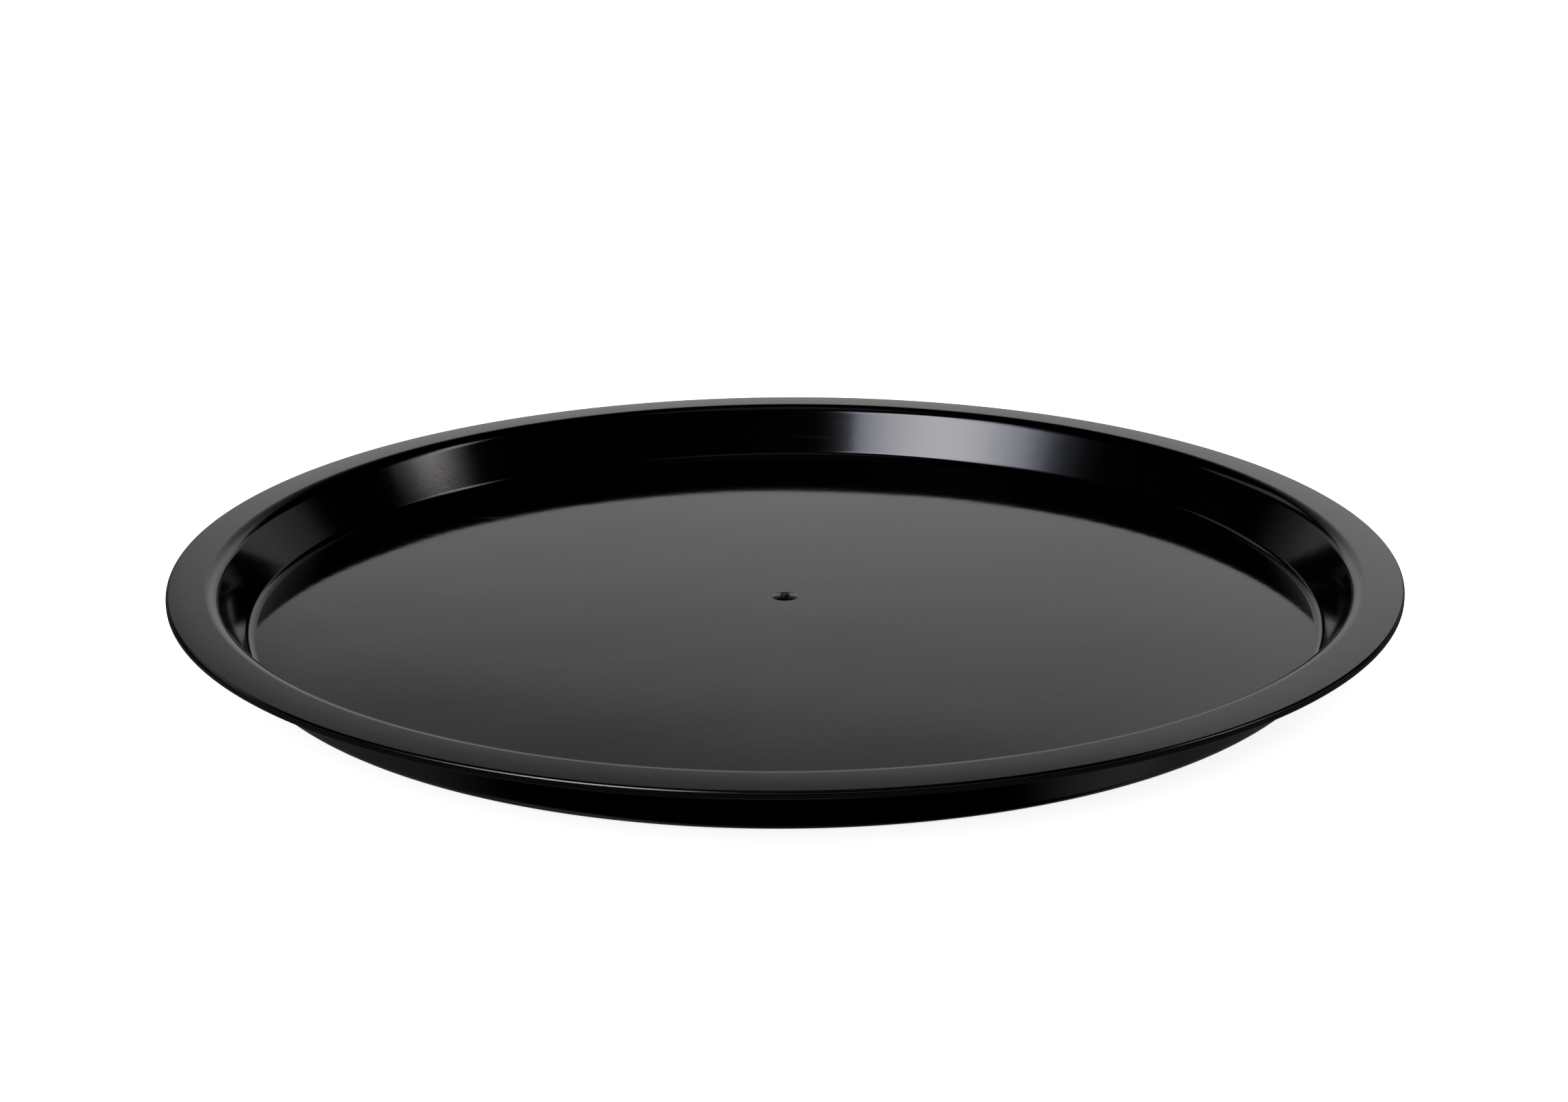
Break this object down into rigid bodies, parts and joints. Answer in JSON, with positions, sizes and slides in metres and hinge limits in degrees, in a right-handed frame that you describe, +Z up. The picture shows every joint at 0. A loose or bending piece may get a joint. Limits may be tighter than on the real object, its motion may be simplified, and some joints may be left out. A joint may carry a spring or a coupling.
{
  "type": "serving tray",
  "caption": "Round shallow serving tray: flat glossy floor with a small raised gate mark at its centre, coved sloping wall and a wide, slightly crowned rim to hold it by.",
  "frame": {"origin": "centre of the plane the tray stands on, under the middle of its floor", "axes": "+Z up along the tray's axis of revolution; X and Y lie in the plane it stands on and are interchangeable"},
  "size_m": [0.35, 0.35, 0.0198],
  "materials": {
    "tray_plastic": "high gloss moulded black, with a very fine grain"
  },
  "bodies": {
    "root": {"tray": "tray_plastic"}
  },
  "joints": []
}
